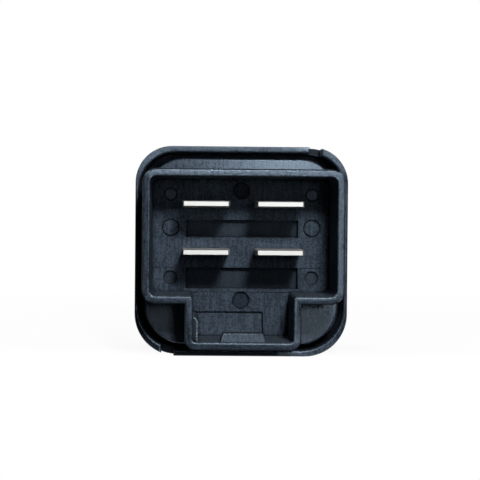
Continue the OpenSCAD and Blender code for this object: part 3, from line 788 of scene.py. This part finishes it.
def make_springs():
    make_spring("return_spring", "housing",
                wire=0.5 * MM, turns=7)
    make_spring("brake_bridge_spring", "plunger_unit",
                wire=0.3 * MM, turns=5)
    make_spring("cruise_bridge_spring", "plunger_unit",
                wire=0.3 * MM, turns=5)


def floor_material():
    """Pale floor that reads as white round the object and still takes its shadow."""
    near_share = 0.9
    fade_start, fade_end = 40 * MM, 200 * MM
    front_fade = 15 * MM
    shader = Shader("floor")
    shader.set(Base_Color=(0.9, 0.9, 0.9, 1), Roughness=0.9)
    white = shader.add("ShaderNodeEmission", {"Color": (1, 1, 1, 1), "Strength": 1.0})
    rays = shader.add("ShaderNodeLightPath").outputs
    seen = shader.math("MAXIMUM", rays["Is Camera Ray"], rays["Is Glossy Ray"])
    seen = shader.math("MAXIMUM", seen, rays["Is Transmission Ray"])
    away = shader.add("ShaderNodeVectorMath", {0: shader.place}, operation="LENGTH").outputs["Value"]
    along = shader.add("ShaderNodeSeparateXYZ", {0: shader.place}).outputs["Y"]
    far = shader.scaled(away, near_share, 1.0, fade_start, fade_end)
    front = shader.scaled(along, 1.0, near_share, GROUND_FRONT_Y, GROUND_FRONT_Y + front_fade)
    share = shader.math("MULTIPLY", seen, shader.math("MAXIMUM", far, front))
    mixed = shader.add("ShaderNodeMixShader", {0: share, 1: shader.surface.outputs[0], 2: white.outputs[0]})
    shader.put(shader.tree.nodes["Material Output"].inputs["Surface"], mixed.outputs[0])
    return shader.material


def make_floor():
    """Flat ground from just in front of the casing's rim backwards, wide enough to fill the view."""
    half = 3.0
    bm = bmesh.new()
    corners = [(-half, GROUND_FRONT_Y), (half, GROUND_FRONT_Y), (half, half), (-half, half)]
    bm.faces.new([bm.verts.new((x, y, 0)) for x, y in corners])
    mesh = bpy.data.meshes.new("floor")
    bm.to_mesh(mesh)
    bm.free()
    mesh.materials.append(floor_material())
    floor = bpy.data.objects.new("floor", mesh)
    floor.location.z = GROUND_Z
    bpy.context.scene.collection.objects.link(floor)


def make_world():
    """Dim room with a white surround for the camera, and for reflections behind the object."""
    room_tone, white_tone = (0.03, 0.03, 0.03, 1), (1, 1, 1, 1)
    world = bpy.data.worlds.new("room")
    bpy.context.scene.world = world
    world.use_nodes = True
    room = Nodes(world.node_tree)
    rays = room.add("ShaderNodeLightPath").outputs
    way = room.add("ShaderNodeTexCoord").outputs["Generated"]
    along = room.add("ShaderNodeSeparateXYZ", {0: way}).outputs["Y"]
    behind = room.scaled(along, 0, 1, 0.2, 0.9, interpolation_type="SMOOTHSTEP")
    mirrored = room.math("MAXIMUM", rays["Is Glossy Ray"], rays["Is Transmission Ray"])
    white = room.math("MAXIMUM", rays["Is Camera Ray"], room.math("MULTIPLY", mirrored, behind))
    background = room.tree.nodes["Background"]
    room.put(background.inputs["Color"], room.blend(white, room_tone, white_tone))


def lamp(name, place, size, power):
    """A square soft lamp that faces the socket's block; place and size are in millimetres."""
    target = Vector((0, -20, 0))
    data = bpy.data.lights.new(name, "AREA")
    data.size = size * MM
    data.energy = power
    made = bpy.data.objects.new(name, data)
    made.location = Vector(place) * MM
    made.rotation_euler = (target - Vector(place)).to_track_quat("-Z", "Y").to_euler()
    bpy.context.scene.collection.objects.link(made)


def make_lights():
    lamp("key", (40, -282, 20), size=26, power=0.065)
    lamp("high_key", (30, -235, 92), size=30, power=0.5)
    lamp("top", (-40, 60, 330), size=220, power=0.55)
    lamp("back_left", (-260, 240, 160), size=160, power=0.5)
    lamp("back_right", (280, 200, 140), size=160, power=0.4)


def make_camera():
    """The photo's viewpoint: a long lens in front of the socket, a little left of and above its middle."""
    place = Vector((-5.5 * MM, MOUTH_Y - 197.4 * MM, 4.3 * MM))
    focal_px = 1524
    frame_px = 480
    # The picture's middle looks this far right of and below straight ahead
    right_px = 38.65
    down_px = 20
    yaw = math.atan(right_px / focal_px)
    pitch = math.atan(down_px / focal_px)
    roll = math.radians(0.5)
    camera = bpy.data.objects.new("camera", bpy.data.cameras.new("camera"))
    bpy.context.scene.collection.objects.link(camera)
    camera.data.sensor_width = 36
    camera.data.lens = camera.data.sensor_width * focal_px / frame_px
    camera.data.clip_start = 10 * MM
    turn = (Matrix.Rotation(-yaw, 4, "Z") @ Matrix.Rotation(math.radians(90) - pitch, 4, "X")
            @ Matrix.Rotation(roll, 4, "Z"))
    camera.matrix_world = Matrix.Translation(place) @ turn
    bpy.context.scene.camera = camera


make_casing()
make_connector_block()
make_terminals_and_contacts()
make_plunger_and_carrier()
make_springs()
make_floor()
make_world()
make_lights()
make_camera()
bpy.context.scene.view_settings.view_transform = "Standard"
